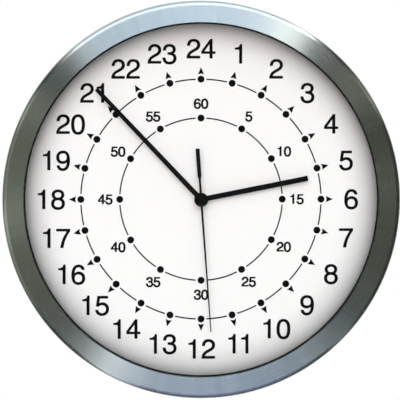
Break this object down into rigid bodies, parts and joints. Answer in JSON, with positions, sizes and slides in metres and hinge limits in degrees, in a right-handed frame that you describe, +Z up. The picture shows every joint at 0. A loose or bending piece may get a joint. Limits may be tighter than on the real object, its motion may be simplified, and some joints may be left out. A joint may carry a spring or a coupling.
{
  "type": "wall clock",
  "caption": "Round wall clock with a brushed aluminium ring, a white twenty-four hour dial, black bar hands and a quartz movement.",
  "frame": {"origin": "where the hands' axis meets the wall plane", "axes": "+Y into the wall, so the dial faces -Y; +Z up to the numeral 24; +X to the right as seen from the front"},
  "size_m": [0.3, 0.04, 0.3],
  "materials": {
    "brushed_aluminium": "circumferentially brushed",
    "clear_glass": "clear, flat",
    "black_rubber": "matte",
    "white_dial": "satin white",
    "black_ink": "printed, matte",
    "grey_moulding": "fine spark texture",
    "dark_moulding": "moulded, satin",
    "pale_moulding": "moulded, satin",
    "steel": "nickel plated",
    "brass": "turned",
    "cell_sleeve": "plain printed sleeve",
    "green_board": "solder mask",
    "black_resin": "cast resin",
    "bright_can": "drawn can",
    "motor_iron": "stamped lamination",
    "copper_wire": "enamelled copper winding",
    "magnet": "sintered",
    "white_gear": "natural acetal",
    "black_lacquer": "black lacquer"
  },
  "bodies": {
    "case": {"bezel": "brushed_aluminium", "lens": "clear_glass", "lens_gasket": "black_rubber", "dial": "white_dial", "hour_track": "black_ink", "minute_track": "black_ink", "back_pan": "grey_moulding", "case_screws": "steel", "movement_case": "dark_moulding", "movement_cover": "dark_moulding", "middle_plate": "pale_moulding", "plate_screws": "steel", "threaded_bush": "brass", "movement_washer": "black_rubber", "dial_washer": "steel", "ring_nut": "brass", "battery_cell": "cell_sleeve", "positive_contact": "steel", "negative_contact": "steel", "circuit_board": "green_board", "driver_chip": "black_resin", "quartz_crystal": "bright_can", "stator": "motor_iron", "coil_core": "motor_iron", "coil_bobbin": "pale_moulding", "coil_winding": "copper_wire"},
    "minute_arbor": {"centre_wheel": "white_gear", "cannon_pinion": "steel", "minute_hand": "black_lacquer", "minute_collet": "brass"},
    "hour_tube": {"hour_wheel": "white_gear", "hour_hand": "black_lacquer", "hour_collet": "brass"},
    "second_arbor": {"seconds_wheel": "white_gear", "second_hand": "black_lacquer", "second_tube": "brass", "centre_cap": "black_lacquer"},
    "motion_arbor": {"minute_wheel": "white_gear"},
    "knob": {"setting_knob": "white_gear"},
    "third_arbor": {"third_wheel": "white_gear"},
    "fifth_arbor": {"fifth_wheel": "white_gear"},
    "rotor": {"rotor_pinion": "white_gear", "rotor_magnet": "magnet"}
  },
  "joints": [
    {"name": "minute_turn", "type": "hinge", "parent": "case", "child": "minute_arbor", "pos_m": [0, 0, 0], "axis": [0, 1, 0], "continuous": true},
    {"name": "hour_turn", "type": "hinge", "parent": "case", "child": "hour_tube", "pos_m": [0, 0, 0], "axis": [0, 1, 0], "continuous": true},
    {"name": "second_turn", "type": "hinge", "parent": "case", "child": "second_arbor", "pos_m": [0, 0, 0], "axis": [0, 1, 0], "continuous": true},
    {"name": "motion_turn", "type": "hinge", "parent": "case", "child": "motion_arbor", "pos_m": [0.00902, 0, 0.00328], "axis": [0, 1, 0], "continuous": true},
    {"name": "knob_turn", "type": "hinge", "parent": "case", "child": "knob", "pos_m": [0.01912, 0, 0.00696], "axis": [0, 1, 0], "continuous": true},
    {"name": "third_turn", "type": "hinge", "parent": "case", "child": "third_arbor", "pos_m": [-0.00883, 0, 0.0051], "axis": [0, 1, 0], "continuous": true},
    {"name": "fifth_turn", "type": "hinge", "parent": "case", "child": "fifth_arbor", "pos_m": [0.0052, 0, 0.00901], "axis": [0, 1, 0], "continuous": true},
    {"name": "rotor_turn", "type": "hinge", "parent": "case", "child": "rotor", "pos_m": [0.0111, 0, 0.01314], "axis": [0, 1, 0], "continuous": true}
  ],
  "couplings": [
    {"joint": "hour_turn", "follows": "minute_turn", "ratio": 0.041667},
    {"joint": "second_turn", "follows": "minute_turn", "ratio": 60},
    {"joint": "motion_turn", "follows": "minute_turn", "ratio": -0.25},
    {"joint": "knob_turn", "follows": "minute_turn", "ratio": 0.625},
    {"joint": "third_turn", "follows": "minute_turn", "ratio": -8},
    {"joint": "fifth_turn", "follows": "minute_turn", "ratio": -360},
    {"joint": "rotor_turn", "follows": "minute_turn", "ratio": 1800}
  ]
}
